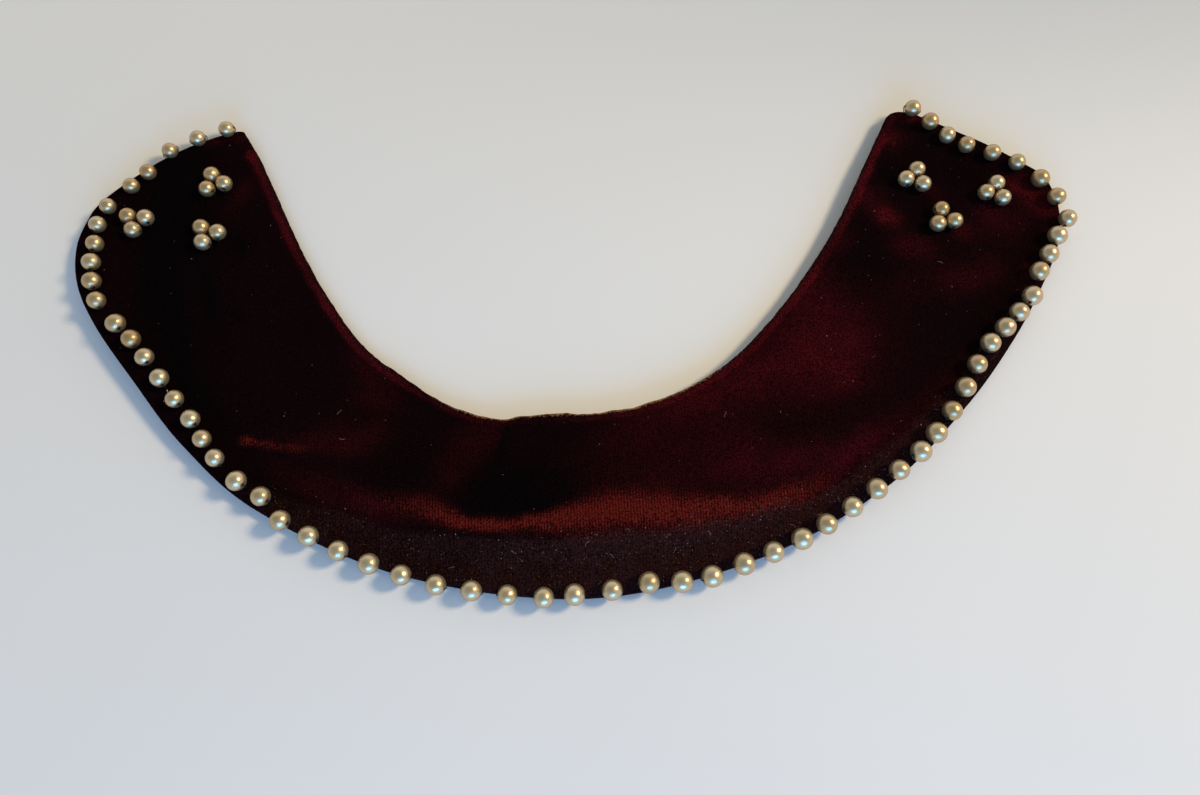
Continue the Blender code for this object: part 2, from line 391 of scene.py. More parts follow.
def makePearlMaterial():
    look = pearlLook
    material, maker, shader = newMaterial(
        "champagnePearl",
        {
            "Metallic": 0.80,
            "Specular Tint": look["rim"],
            "Coat Weight": 1.0,
            "Coat IOR": 1.47,
            "Coat Roughness": 0.26,
        },
    )
    place = maker.place()
    tone = maker.attribute("tone")["Fac"]
    mouth = maker.attribute("mouth")["Fac"]
    cloud = maker.group(softPatches, {"Vector": place, "Size": 0.0030, "Contrast": 0.6})["Mask"]
    specks = maker.group(dustSpecks, {"Vector": place, "Spacing": 0.0009, "Amount": 0.05})["Mask"]
    depth = maker.maths("ADD", maker.times(tone, 0.7), maker.times(cloud, 0.25), True)
    base = maker.mix(depth, look["light"], look["deep"])
    base = maker.mix(maker.times(specks, 0.35), base, look["worn"])
    # worn ring round each mouth, and painted shade inside the drilled hole
    base = maker.mix(mouth, base, look["worn"])
    rough = maker.between(cloud, 0.0, 1.0, 0.29, 0.37)
    waves = maker.noise(place, 1 / look["lacquer"], 1.0, 0.4)
    feed(maker, shader, Base_Color=base, Roughness=rough, Normal=maker.bump(waves, 0.36, 0.0004))
    return material


threadLook = {
    "dark": colour(0.006, 0.0035, 0.0035),
    "pale": colour(0.38, 0.28, 0.13),
    "lint": colour(0.15, 0.115, 0.11),
    "ply": 0.0006,
}


def makeThreadMaterial(name, base):
    material, maker, shader = newMaterial(name, {"Roughness": 0.9, "Specular IOR Level": 0.15})
    place = maker.place()
    plies = maker.noise(place, 1 / threadLook["ply"], 2.0, 0.5)
    lighter = tuple(min(1.0, value * 1.8) for value in base[:3]) + (1.0,)
    tone = maker.mix(maker.between(plies, 0.35, 0.65), base, lighter)
    feed(maker, shader, Base_Color=tone, Normal=maker.bump(plies, 0.4, 0.0001))
    return material


floorLook = {
    "pale": colour(0.80, 0.79, 0.775),
    "cloud": colour(0.79, 0.785, 0.775),
    "farCornerShade": colour(0.50, 0.53, 0.57),
}


# pale, with painted shade softly darker towards the far right corner
def makeFloorMaterial():
    look = floorLook
    material, maker, shader = newMaterial("paleFloor", {"Roughness": 0.9, "Specular IOR Level": 0.1})
    place = maker.place()
    cloud = maker.group(softPatches, {"Vector": place, "Size": 0.25, "Contrast": 0.5})["Mask"]
    x, y = maker.add("ShaderNodeSeparateXYZ", {0: place}).outputs[:2]
    # painted shade towards the far right corner
    corner = maker.times(maker.between(x, -0.25, 0.35), maker.between(y, 0.0, 0.20))
    tone = maker.mix(corner, maker.mix(cloud, look["pale"], look["cloud"]), look["farCornerShade"])
    feed(maker, shader, Base_Color=tone)
    return material


softPatches = makePatchGroup()
dustSpecks = makeSpeckGroup()
velvetMaterial = makeVelvetMaterial()
liningMaterial = makeLiningMaterial()
pearlMaterial = makePearlMaterial()
darkThread = makeThreadMaterial("darkThread", threadLook["dark"])
paleThread = makeThreadMaterial("paleThread", threadLook["pale"])
greyLint = makeThreadMaterial("greyLint", threadLook["lint"])
floorMaterial = makeFloorMaterial()
print("materials done")


velvet = {
    "rows": 500,
    "columns": 68,
    "firstRow": 0.0036,       # share of the length that the first and last row take, for the rim
    "firstColumn": 0.026,
    "rim": 0.00115,           # rounding of the turned edge
    "ripple": 0.0005,         # height of the soft waves that the velvet lies in
    "rippleScale": 21,        # noise scale of the waves
    "rippleRise": 0.25,       # added to the noise; where the sum is below 0, the velvet has no waves
    "knobs": 0.00016,         # roughness of the neck edge
    "knobNoise": ((190, 2.5), (430, 7.5)),     # scale and line of a coarse and a fine noise
    "fineKnobs": 0.6,         # share of the fine noise
    "wobbleReach": 0.12,      # share of the band that the neck edge's wobble reaches over
    "sharp": 50.0,            # edges sharper than this many degrees are rounded
}

# the soft crease that runs down from the neck edge: a furrow between two low ridges
crease = {
    "along": 0.453,
    "ridges": 0.0032,         # from the furrow to each ridge
    "width": 0.0022,
    "height": 0.00055,
    "over": 0.10,
    "reach": 0.20,
}

# the neck corners: which end, the other side's edge, radius of the rounding
roundings = [(0.0, 0.0, 0.0042), (1.0, 0.0, 0.0115), (0.0, 1.0, 0.0060), (1.0, 1.0, 0.0040)]

# how far the neck edge stands in or out of its line, in mm, along the collar
neckWobble = [
    (0.30, 0.0), (0.330, 0.1), (0.355, 0.5), (0.370, 0.1), (0.390, -0.5), (0.410, -0.5), (0.425, -0.2),
    (0.435, -0.4), (0.447, -0.8), (0.453, -0.5), (0.463, 0.6), (0.475, 0.9), (0.490, 0.5),
    (0.500, -0.3), (0.512, -0.6), (0.525, -0.2), (0.540, -0.4), (0.555, 0.3), (0.570, 0.1),
    (0.600, 0.0),
]

# painted sheen of the crushed pile, the red band over the low roll: middle, reach towards the neck, reach
# outwards, strength
paintedSheenPaths = [
    [
        (0.326, 0.765, 0.02, 0.02, 0.0), (0.333, 0.755, 0.025, 0.03, 0.60),
        (0.345, 0.700, 0.02, 0.025, 0.35), (0.358, 0.635, 0.025, 0.03, 0.32),
        (0.368, 0.600, 0.03, 0.03, 0.0),
    ],
    [
        (0.395, 0.720, 0.05, 0.05, 0.0), (0.410, 0.700, 0.05, 0.05, 0.12),
        (0.425, 0.650, 0.07, 0.05, 0.20), (0.432, 0.615, 0.06, 0.05, 0.38),
        (0.445, 0.640, 0.04, 0.035, 0.66), (0.453, 0.660, 0.025, 0.03, 0.95),
        (0.465, 0.645, 0.025, 0.025, 0.95), (0.477, 0.620, 0.03, 0.035, 0.80),
        (0.488, 0.595, 0.045, 0.055, 0.95), (0.500, 0.570, 0.06, 0.08, 0.95),
        (0.513, 0.570, 0.08, 0.08, 1.0), (0.525, 0.580, 0.08, 0.08, 1.0),
        (0.538, 0.610, 0.08, 0.08, 1.0), (0.550, 0.650, 0.07, 0.07, 0.90),
        (0.563, 0.690, 0.06, 0.06, 0.80), (0.575, 0.730, 0.05, 0.05, 0.70),
        (0.588, 0.770, 0.05, 0.05, 0.62), (0.600, 0.790, 0.05, 0.04, 0.36),
        (0.620, 0.800, 0.05, 0.04, 0.0),
    ],
]

# marks of wine, partly brushed pile and partly painted sheen, then marks of painted shade: along, over,
# half length and half width in mm, tilt in degrees, strength
wineSheenMarks = [
    (0.600, 0.12, 22, 8, 0, 0.28), (0.680, 0.29, 20, 14, -6, 0.50), (0.640, 0.18, 18, 9, 0, 0.22),
    (0.715, 0.12, 12, 8, 0, 0.30), (0.545, 0.36, 20, 9, 0, 0.20), (0.640, 0.80, 14, 5, 0, 0.22),
    (0.690, 0.86, 16, 4, 0, 0.10), (0.790, 0.62, 8, 6, 0, 0.26), (0.812, 0.37, 6, 6, 30, 0.36),
    (0.838, 0.20, 3.4, 4.2, 60, 0.95), (0.812, 0.72, 8, 5, 0, 0.16), (0.875, 0.72, 10, 7, 0, 0.22),
    (0.922, 0.85, 8, 6, 0, 0.38), (0.940, 0.78, 5, 5, 0, 0.60), (0.948, 0.07, 5, 3.5, 0, 0.55),
    (0.365, 0.17, 7, 5, 0, 0.20), (0.335, 0.08, 11, 4, 0, 0.18), (0.385, 0.40, 4, 7, 10, 0.22),
    (0.363, 0.56, 9, 4, -30, 0.20), (0.410, 0.70, 10, 4, 0, 0.25), (0.385, 0.76, 12, 4, 0, 0.16),
    (0.436, 0.16, 5, 8, 15, 0.24), (0.435, 0.40, 4, 7, 0, 0.14), (0.096, 0.15, 8, 3, 35, 0.20),
    (0.560, 0.50, 12, 4, 0, 0.14), (0.535, 0.18, 10, 6, 0, 0.16), (0.765, 0.45, 9, 5, 0, 0.10),
    (0.020, 0.04, 6, 3, 0, 0.12), (0.370, 0.45, 7, 8, 0, 0.10), (0.592, 0.08, 13, 4, 0, 0.24),
    (0.545, 0.08, 10, 3, 0, 0.14), (0.742, 0.06, 8, 3, 0, 0.24), (0.855, 0.09, 6, 4, 0, 0.38),
    (0.790, 0.07, 6, 3, 0, 0.22), (0.990, 0.13, 4, 6, 0, 0.80), (0.010, 0.16, 4, 4, 0, 0.30),
    (0.583, 0.50, 7, 12, 0, 0.26), (0.687, 0.36, 8, 5, 0, 0.20), (0.885, 0.36, 4, 4, 0, 0.20),
    (0.666, 0.46, 9, 4, 0, 0.22), (0.844, 0.55, 5, 4, 0, 0.36), (0.602, 0.64, 9, 5, 0, 0.34),
    (0.625, 0.73, 8, 4, 0, 0.42), (0.875, 0.65, 7, 4, 0, 0.22), (0.958, 0.83, 6, 3.5, 0, 0.32),
    (0.650, 0.92, 14, 3, 0, 0.26), (0.823, 0.93, 6, 3, 0, 0.42), (0.930, 0.93, 10, 3.5, 0, 0.50),
    (0.560, 0.94, 22, 3, 0, 0.16), (0.055, 0.045, 2.6, 1.5, 0, 1.5),
]
# painted shade: dark lobes of fold shading, in the same columns
paintedShadeMarks = [
    (0.065, 0.48, 42, 9, -2, 1.0), (0.140, 0.60, 30, 7, 8, 1.0), (0.200, 0.72, 28, 6, 5, 0.9),
    (0.210, 0.50, 18, 2.5, 10, 0.8), (0.155, 0.24, 8, 4, 0, 0.8), (0.232, 0.42, 5, 2, 0, 0.7),
    (0.030, 0.30, 9, 5, 0, 0.8), (0.478, 0.50, 17, 8, -4, 1.0), (0.480, 0.34, 14, 7, 0, 0.7),
    (0.643, 0.53, 7, 5, 0, 0.5), (0.410, 0.45, 12, 10, 0, 0.4), (0.838, 0.42, 6, 4, 0, 0.8),
    (0.930, 0.45, 14, 9, 0, 0.5), (0.280, 0.80, 26, 4, 0, 0.7), (0.890, 0.12, 8, 4, 0, 0.7),
    (0.785, 0.22, 10, 6, 0, 0.4), (0.453, 0.15, 1.6, 10, 0, 0.9),
]

# strength of the wine line along the neck edge, a painted highlight, and of the golden line at the neck
# fold
neckLine = [
    (0.00, 0.08, 0.0), (0.043, 0.08, 0.0), (0.054, 0.90, 0.05), (0.09, 0.80, 0.10), (0.20, 0.80, 0.15),
    (0.26, 0.95, 0.20), (0.33, 0.80, 0.30), (0.36, 0.50, 0.30), (0.40, 0.25, 0.60), (0.44, 0.20, 1.00),
    (0.48, 0.08, 0.80), (0.50, 0.20, 0.80), (0.54, 0.40, 1.00), (0.60, 0.55, 0.75), (0.66, 0.65, 0.40),
    (0.72, 0.80, 0.20), (0.78, 0.85, 0.15), (0.86, 0.90, 0.10), (0.90, 0.50, 0.10), (0.94, 0.70, 0.10),
    (0.96, 0.30, 0.0),
]

# inner boundary of the outer band of dust and painted sheen, and how strong it is
dustAndSheenLine = [
    (0.345, 0.95, 0.0), (0.375, 0.86, 0.40), (0.400, 0.80, 0.50), (0.430, 0.76, 0.50),
    (0.450, 0.735, 0.55), (0.475, 0.70, 0.75), (0.500, 0.685, 1.00), (0.540, 0.705, 1.05),
    (0.570, 0.755, 1.05), (0.600, 0.82, 0.95), (0.625, 0.85, 0.85), (0.660, 0.87, 0.70),
    (0.720, 0.89, 0.50), (0.800, 0.92, 0.35), (0.880, 0.94, 0.20),
]


def pathStrength(path, along, over):
    middle, up, down, strength = follow(path, along)
    return strength * bell(over - middle, up if over < middle else down)


def markStrength(marks, along, over):
    total = 0.0
    for markAlong, markOver, halfLength, halfWidth, tilt, strength in marks:
        x = (along - markAlong) * collar["centreLine"] / mm
        y = (over - markOver) * collar["band"] / mm
        if abs(x) < 3 * max(halfLength, halfWidth):
            c, s = math.cos(math.radians(tilt)), math.sin(math.radians(tilt))
            total += strength * bell(x * c + y * s, halfLength) * bell(y * c - x * s, halfWidth)
    return total


# how far two noises, a broad and a fine one, bend the marks' outlines, as shares of the length
# or of the band
napBend = {
    "scales": (55.0, 170.0),
    "along": (0.006, 0.0022),
    "over": (0.035, 0.018),
    "glow": (0.012, 0.010),
}

# places and widths at the edges of the band, as shares of its width
napEdge = {
    "line": (0.031, 0.008, 0.015),     # the wine line, a painted highlight: its place, how far it strays, its width
    "fold": (0.012, 0.005),            # the golden line's width at the fold, how much it varies
    "dustAndSheenBorder": 0.05,
    "neckDustAndSheen": 0.022,
}


# painted sheen band, wine marks with painted sheen, dust with painted sheen, painted shade and the golden
# fold line at a place
def napAndSheenAt(along, over, point):
    bend, finer = (noise.noise_vector(point * scale) for scale in napBend["scales"])
    a = along + bend.x * napBend["along"][0] + finer.x * napBend["along"][1]
    o = over + bend.y * napBend["over"][0] + finer.y * napBend["over"][1]
    paintedSheenOver = over + bend.y * napBend["glow"][0] + finer.y * napBend["glow"][1]
    # painted sheen: the red band over the low roll
    glow = sum(pathStrength(path, a, paintedSheenOver) for path in paintedSheenPaths)
    line, gold = follow(neckLine, along)
    lineAt, stray, lineWidth = napEdge["line"]
    lineBell = bell(over - (lineAt + stray * finer.z), lineWidth)
    # wine marks with painted sheen, and the neck edge's line, a painted highlight
    wine = markStrength(wineSheenMarks, a, o) + line * (1.25 + bend.z) * lineBell
    edge, dustAndSheenStrength = follow(dustAndSheenLine, along)
    # dust with painted sheen over the outer band and along the neck edge
    dust = dustAndSheenStrength * ease((o - edge) / napEdge["dustAndSheenBorder"] + 0.5)
    dust += 0.5 * line * bell(over, napEdge["neckDustAndSheen"])
    # painted shade in the dark lobes, kept off the painted sheen
    shade = min(markStrength(paintedShadeMarks, a, o), 1.0) * (1.0 - min(glow * 2, 1.0))
    foldWidth, variation = napEdge["fold"]
    fold = gold * bell(over, foldWidth + variation * bend.x)
    return glow, wine, dust, shade, fold


# even steps, but for a first and a last one that are wide enough for the rim's rounding
def spreadSteps(t, steps, first):
    one = 1.0 / steps
    if t < one / 2:
        return 0.0
    if t > 1.0 - one / 2:
        return 1.0
    return first + (t - one) / (1.0 - 2 * one) * (1.0 - 2 * first)


def roundCorner(along, over):
    for end, edge, radius in roundings:
        x = radius - abs(along - end) * collar["centreLine"]
        y = radius - abs(over - edge) * collar["band"]
        if x > 0 and y > 0:
            share = max(x, y) / math.hypot(x, y)
            a = (radius - x * share) / collar["centreLine"]
            b = (radius - y * share) / collar["band"]
            return abs(end - a), abs(edge - b)
    return along, over


def lyingPoint(along, over):
    along, over = roundCorner(along, over)
    point = clothPoint(along, over)
    scale = velvet["rippleScale"]
    wave = noise.noise(Vector((point.x * scale, point.y * scale, 4.2)))
    ripple = max(wave + velvet["rippleRise"], 0.0)
    point.z += ripple * velvet["ripple"] * min(4 * over, 1.0) * min(4 * (1.0 - over), 1.0)
    (wobble,) = follow(neckWobble, along)
    coarse, fine = (noise.noise(Vector((along * size, line, 0.0))) for size, line in velvet["knobNoise"])
    wobble += (coarse + velvet["fineKnobs"] * fine) * velvet["knobs"] / mm
    neck, outer = clothPoint(along, 0.0), clothPoint(along, 1.0)
    outwards = Vector((outer.x - neck.x, outer.y - neck.y, 0.0)).normalized()
    point -= outwards * wobble * mm * max(1.0 - over / velvet["wobbleReach"], 0.0) ** 2
    beside = (along - crease["along"]) * collar["centreLine"]
    ridges = sum(bell(beside + way * crease["ridges"], crease["width"]) for way in (-1, 1))
    point.z += crease["height"] * ridges * bell(over - crease["over"], crease["reach"])
    return point


def makeVelvet():
    rows, columns = velvet["rows"], velvet["columns"]
    mesh = bpy.data.meshes.new("velvetCollar")
    grid = bmesh.new()
    bmesh.ops.create_grid(grid, x_segments=rows, y_segments=columns, size=0.5)
    # per vertex: painted sheen band, wine marks with painted sheen, dust with painted sheen
    nap = grid.verts.layers.float_color.new("nap")
    shadeLayer = grid.verts.layers.float.new("shade")
    foldLayer = grid.verts.layers.float.new("fold")
    for vertex in grid.verts:
        along = spreadSteps(vertex.co.x + 0.5, rows, velvet["firstRow"])
        over = spreadSteps(0.5 - vertex.co.y, columns, velvet["firstColumn"])
        vertex.co = lyingPoint(along, over)
        glow, wine, dust, shade, fold = napAndSheenAt(along, over, vertex.co)
        vertex[nap] = (glow, wine, dust, 1.0)
        vertex[shadeLayer] = shade
        vertex[foldLayer] = fold
    grid.to_mesh(mesh)
    grid.free()
    piece = bpy.data.objects.new("velvetSheet", mesh)
    bpy.context.scene.collection.objects.link(piece)
    mesh.materials.append(velvetMaterial)
    mesh.materials.append(liningMaterial)
    wall = piece.modifiers.new("twoLayers", "SOLIDIFY")
    wall.thickness = collar["cloth"]
    wall.offset = 1.0
    wall.material_offset = 1
    rounding = piece.modifiers.new("turnedEdge", "BEVEL")
    rounding.width = velvet["rim"]
    rounding.segments = 4
    rounding.limit_method = "ANGLE"
    rounding.angle_limit = math.radians(velvet["sharp"])
    bpy.context.view_layer.update()
    finished = bpy.data.meshes.new_from_object(piece.evaluated_get(bpy.context.evaluated_depsgraph_get()))
    bpy.data.objects.remove(piece, do_unlink=True)
    finished.name = "velvetCollar"
    finished.shade_smooth()
    cloth = addPiece("velvetCollar", finished, [], ["velvet_collar"])
    return cloth


ground = {"reach": 3.0, "below": 0.00004}


def makeFloor():
    mesh = bpy.data.meshes.new("floor")
    plane = bmesh.new()
    bmesh.ops.create_grid(plane, x_segments=4, y_segments=4, size=ground["reach"])
    bmesh.ops.translate(plane, verts=plane.verts, vec=(0.0, 0.0, -ground["below"]))
    plane.to_mesh(mesh)
    plane.free()
    mesh.materials.append(floorMaterial)
    floor = bpy.data.objects.new("floor", mesh)
    bpy.context.scene.collection.objects.link(floor)


makeFloor()
velvetCollar = makeVelvet()
clothTree = BVHTree.FromPolygons(
    [vertex.co for vertex in velvetCollar.data.vertices],
    [tuple(polygon.vertices) for polygon in velvetCollar.data.polygons],
)
print("velvet done", len(velvetCollar.data.polygons), "faces")


pearl = {
    "edge": 0.0064,           # mean diameter along the outer edge
    "spread": 0.02,           # share by which edge pearls differ in size
    "sizeTurn": 2.4,          # radians a pearl, of the sine that makes the pearls differ in size
    "trefoil": 0.0060,
    "apart": 0.0003,          # between the pearls of a trefoil
    "hole": 0.00042,          # radius of the drilled hole
    "sunk": 0.00015,          # how far a pearl presses into the pile
    "halvings": 24,           # steps that find a pearl's height on the velvet
    "mellow": 2.8,            # gain in depth of tone, a metre towards the arm ends
    "arcs": 14,
    "sides": 28,
}

# what makes one pearl differ from the next
unlike = {
    "tone": (0.35, 0.25),     # mean and spread of its depth of tone
    "stretch": ((0.97, 1.02), (0.98, 1.02), (0.98, 1.02)),
    "lean": ((-0.25, 0.25), (-0.25, 0.25), (-0.2, 0.25)),
    "lumpScale": 260.0,
    "lumps": 0.022,           # share of the radius
    "smooth": 1.5,            # hole radii within which there are no lumps
}

# the mouths of a pearl's hole
mouthShape = {
    "lip": 0.0001,
    "bevel": 0.00012,
    "dark": 1.05,             # hole radii within which the dark colour is full, painted shade inside the drilled hole
    "wear": 0.55,             # strength of the worn colour round the mouth
    "wearWidth": 0.00035,
}

# start, end, gap, insetStart, insetEnd, size, round the outer edge from corner to corner
pearlRuns = [
    (0.008, 0.043, 0.90, 0.05, 0.05, 0.91),
    (0.061, 0.074, 0.42, 0.69, 0.85, 0.90),
    (0.093, 0.110, 0.84, 0.97, 1.09, 0.91),
    (0.126, 0.169, 0.44, 1.26, 0.79, 0.98),
    (0.189, 0.203, 0.37, 1.02, 1.20, 1.01),
    (0.217, 0.264, 0.61, 1.26, 1.22, 0.96),
    (0.277, 0.290, 0.36, 0.99, 0.77, 0.94),
    (0.308, 0.324, 0.56, 0.59, 0.64, 1.01),
    (0.340, 0.408, 0.66, 0.12, -0.08, 1.01),
    (0.426, 0.479, 0.71, -0.16, -0.09, 1.02),
    (0.494, 0.531, 0.74, 0.05, 0.24, 1.05),
    (0.547, 0.562, 0.34, -0.04, -0.17, 1.10),
    (0.579, 0.611, 0.46, -0.10, -0.05, 1.08),
    (0.626, 0.675, 0.52, 0.02, 0.22, 1.06),
    (0.691, 0.705, 0.27, 0.18, 0.26, 1.09),
    (0.721, 0.753, 0.49, 0.40, 0.86, 1.06),
    (0.769, 0.809, 0.23, 0.91, 0.32, 1.07),
    (0.826, 0.854, 0.31, 0.53, 0.30, 1.05),
    (0.868, 0.897, 0.40, -0.20, 0.70, 1.02),
    (0.919, 0.950, 0.59, 0.60, 1.10, 0.96),
    (0.963, 0.988, 0.27, 0.98, 0.05, 0.97),
]

trefoils = [
    ("left_back", -0.728, 0.860, 111.0),
    ("left_outer", -0.873, 0.772, 143.0),
    ("left_front", -0.728, 0.738, 131.0),
    ("right_back", 0.707, 0.788, 70.0),
    ("right_outer", 0.867, 0.753, 69.0),
    ("right_front", 0.749, 0.693, 98.0),
]


def outerEdge():
    rows, columns = collar["edgeSteps"]
    leftEnd = [clothPoint(0.0, column / columns) for column in range(columns)]
    front = [clothPoint(row / rows, 1.0) for row in range(rows + 1)]
    rightEnd = [clothPoint(1.0, column / columns) for column in reversed(range(columns))]
    return [Vector((point.x, point.y, 0.0)) for point in leftEnd + front + rightEnd]


def alongEdge(edge, share, inset):
    lengths = [(b - a).length for a, b in zip(edge, edge[1:])]
    left = share * sum(lengths)
    step = 0
    while step < len(lengths) - 1 and left > lengths[step]:
        left -= lengths[step]
        step += 1
    direction = (edge[step + 1] - edge[step]).normalized()
    inwards = Vector((-direction.y, direction.x, 0.0))
    return edge[step] + direction * left + inwards * inset, direction


# lowers a pearl onto the velvet, or onto the floor beside it
def seatOn(point, radius):
    low, high = radius, collar["cloth"] + collar["lift"] + 2 * radius
    for _ in range(pearl["halvings"]):
        height = (low + high) / 2
        distance = clothTree.find_nearest(Vector((point.x, point.y, height)))[3]
        if distance < radius - pearl["sunk"]:
            low = height
        else:
            high = height
    return Vector((point.x, point.y, high))


def edgePearls():
    edge = outerEdge()
    length = sum((b - a).length for a, b in zip(edge, edge[1:]))
    found = []
    for start, end, gap, insetStart, insetEnd, size in pearlRuns:
        diameter = pearl["edge"] * size
        steps = max(round((end - start) * length / (diameter * (1 + gap))), 1)
        for step in range(steps + 1):
            t = step / steps
            radius = diameter / 2 * (1 + pearl["spread"] * math.sin(pearl["sizeTurn"] * len(found)))
            inset = diameter * (insetStart + (insetEnd - insetStart) * t)
            point, direction = alongEdge(edge, start + (end - start) * t, inset)
            found.append((seatOn(point, radius), radius, direction))
    return found


# one pearl, drilled through along a direction and a little uneven
def turnPearl(centre, radius, direction, seed):
    draw = random.Random(seed)
    turned = bmesh.new()
    toneLayer = turned.verts.layers.float.new("tone")
    mouthLayer = turned.verts.layers.float.new("mouth")
    hole, arcs = pearl["hole"], pearl["arcs"]
    start = math.asin((hole + mouthShape["lip"]) / radius)
    profile = []
    for step in range(arcs + 1):
        angle = start + (math.pi - 2 * start) * step / arcs
        profile.append((-radius * math.cos(angle), radius * math.sin(angle)))
    inner = radius * math.cos(start) - mouthShape["bevel"]
    profile += [(inner, hole), (-inner, hole)]
    corners = [turned.verts.new((x, 0.0, y)) for x, y in profile]
    for here, ahead in zip(corners, corners[1:] + corners[:1]):
        turned.edges.new((here, ahead))
    bmesh.ops.spin(
        turned, geom=turned.verts[:] + turned.edges[:], cent=(0, 0, 0), axis=(1, 0, 0), dvec=(0, 0, 0),
        angle=2 * math.pi, steps=pearl["sides"], use_merge=True, use_normal_flip=False, use_duplicate=False,
    )
    bmesh.ops.recalc_face_normals(turned, faces=turned.faces)
    tone = min(max(draw.gauss(*unlike["tone"]) + centre.y * pearl["mellow"], 0.0), 1.0)
    stretch = Vector([draw.uniform(*limits) for limits in unlike["stretch"]])
    offset = Vector([draw.uniform(0, 50) for _ in range(3)])
    for vertex in turned.verts:
        outside = math.hypot(vertex.co.y, vertex.co.z)
        worn = mouthShape["wear"] * bell(outside - hole, mouthShape["wearWidth"])
        vertex[toneLayer] = tone
        # painted shade inside the hole, worn ring round its mouth
        vertex[mouthLayer] = 1.0 if outside < hole * mouthShape["dark"] else worn
        lump = noise.noise(vertex.co * unlike["lumpScale"] + offset) * unlike["lumps"]
        if outside < hole * unlike["smooth"]:
            lump = 0.0
        vertex.co = vertex.co * (1.0 + lump) * stretch
    lean = Vector([draw.uniform(*limits) for limits in unlike["lean"]])
    along = (direction.normalized() + lean).normalized()
    turn = along.to_track_quat("X", "Z").to_matrix().to_4x4()
    bmesh.ops.transform(turned, matrix=Matrix.Translation(centre) @ turn, verts=turned.verts)
    mesh = bpy.data.meshes.new("pearl")
    turned.to_mesh(mesh)
    turned.free()
    mesh.shade_smooth()
    return mesh, along


def joinMeshes(name, meshes):
    joined = bmesh.new()
    for mesh in meshes:
        joined.from_mesh(mesh)
    result = bpy.data.meshes.new(name)
    joined.to_mesh(result)
    joined.free()
    result.shade_smooth()
    return result


row = edgePearls()
half = len(row) // 2
drilled = []              # centre, radius and drilled direction of every edge pearl, for the stitches
for name, node, part in (
    ("edgePearlsLeft", "edge_pearls_left", row[:half]),
    ("edgePearlsRight", "edge_pearls_right", row[half:]),
):
    meshes = []
    for centre, radius, direction in part:
        mesh, along = turnPearl(centre, radius, direction, len(drilled) + 11)
        meshes.append(mesh)
        drilled.append((centre, radius, along))
    addPiece(name, joinMeshes(name, meshes), [pearlMaterial], [node])
print("edge pearls done", len(row))

spacing = (pearl["trefoil"] + pearl["apart"]) / math.sqrt(3)
trefoilDrilled = []
for name, across, back, turnAngle in trefoils:
    middle = planPoint(across, back)
    for number in range(3):
        angle = math.radians(turnAngle + 120 * number)
        point = middle + Vector((math.cos(angle), math.sin(angle), 0.0)) * spacing
        centre = seatOn(point, pearl["trefoil"] / 2)
        tangent = Vector((-math.sin(angle), math.cos(angle), 0.0))
        mesh, along = turnPearl(centre, pearl["trefoil"] / 2, tangent, len(trefoilDrilled) + 200)
        node = f"trefoil_{name}_{number + 1}"
        words = node.split("_")
        pieceName = words[0] + words[1].title() + words[2].title() + words[3]
        mesh.name = pieceName
        addPiece(pieceName, mesh, [pearlMaterial], [node])
        trefoilDrilled.append((centre, pearl["trefoil"] / 2, along))
print("trefoils done")


stitch = {
    "thickness": 0.00014,
    "inside": 0.0004,         # from the mouth of the hole back into it
    "out": 0.00012,
    "under": 0.0003,          # end of the thread, below the pile
    "beside": 0.8,            # radii from the pearl's middle to the place where it goes in
}

# pale ends of thread that stick out: which pearl of the edge row, from which side of it
nubs = [(14, 1.0), (20, -1.0)]
nubShape = {"beside": 1.25, "rise": 0.0007, "length": 0.0007, "bend": (0.0003, -0.0005, 0.0001)}

lint = {
    "specks": 240,
    "size": 0.00015,
    "coarsest": 1.4,          # size of the largest, as a share of the usual one
    "long": (0.7, 1.8),
    "wide": (0.5, 1.0),
    "high": 0.6,
    "fibres": 22,
    "fibreLength": 0.0022,
    "fibreThickness": 0.00005,
    "fibreTurn": 0.9,         # radians that a fibre turns by at most in each third of its length
    "above": 0.00005,         # height of a fibre over the pile
    "along": (0.02, 0.98),
    "over": (0.04, 0.97),
    "border": 0.08,           # share of the band over which the dusty band begins
    "elsewhere": 0.018,       # how often a speck lies outside the dusty band
}


# short pieces of thread, each through a few points
def makeThreads(name, paths, thickness, material):
    curve = bpy.data.curves.new(name, "CURVE")
    curve.dimensions = "3D"
    curve.bevel_depth = thickness
    curve.bevel_resolution = 1
    curve.resolution_u = 3
    curve.use_fill_caps = True
    for path in paths:
        spline = curve.splines.new("BEZIER")
        spline.bezier_points.add(len(path) - 1)
        for knot, place in zip(spline.bezier_points, path):
            knot.co = place
            knot.handle_left_type = "AUTO"
            knot.handle_right_type = "AUTO"
    return addPiece(name, curve, [material])


# where a thread goes into the velvet beside a pearl, and the way that the pile stands there
def threadFoot(centre, radius, side, beside):
    return clothTree.find_nearest(centre + side * radius * beside - Vector((0.0, 0.0, radius)))[:2]


# from the mouth of a pearl's hole down into the velvet
def stitchPath(centre, radius, side):
    mouth = centre + side * (radius + stitch["out"])
    foot, normal = threadFoot(centre, radius, side, stitch["beside"])
    return [centre + side * (radius - stitch["inside"]), mouth, foot - normal * stitch["under"]]


def nubPath(centre, radius, side):
    foot, normal = threadFoot(centre, radius, side, nubShape["beside"])
    top = foot + normal * nubShape["rise"]
    end = top + side * nubShape["length"] + Vector(nubShape["bend"])
    return [foot - normal * stitch["under"], top, end]


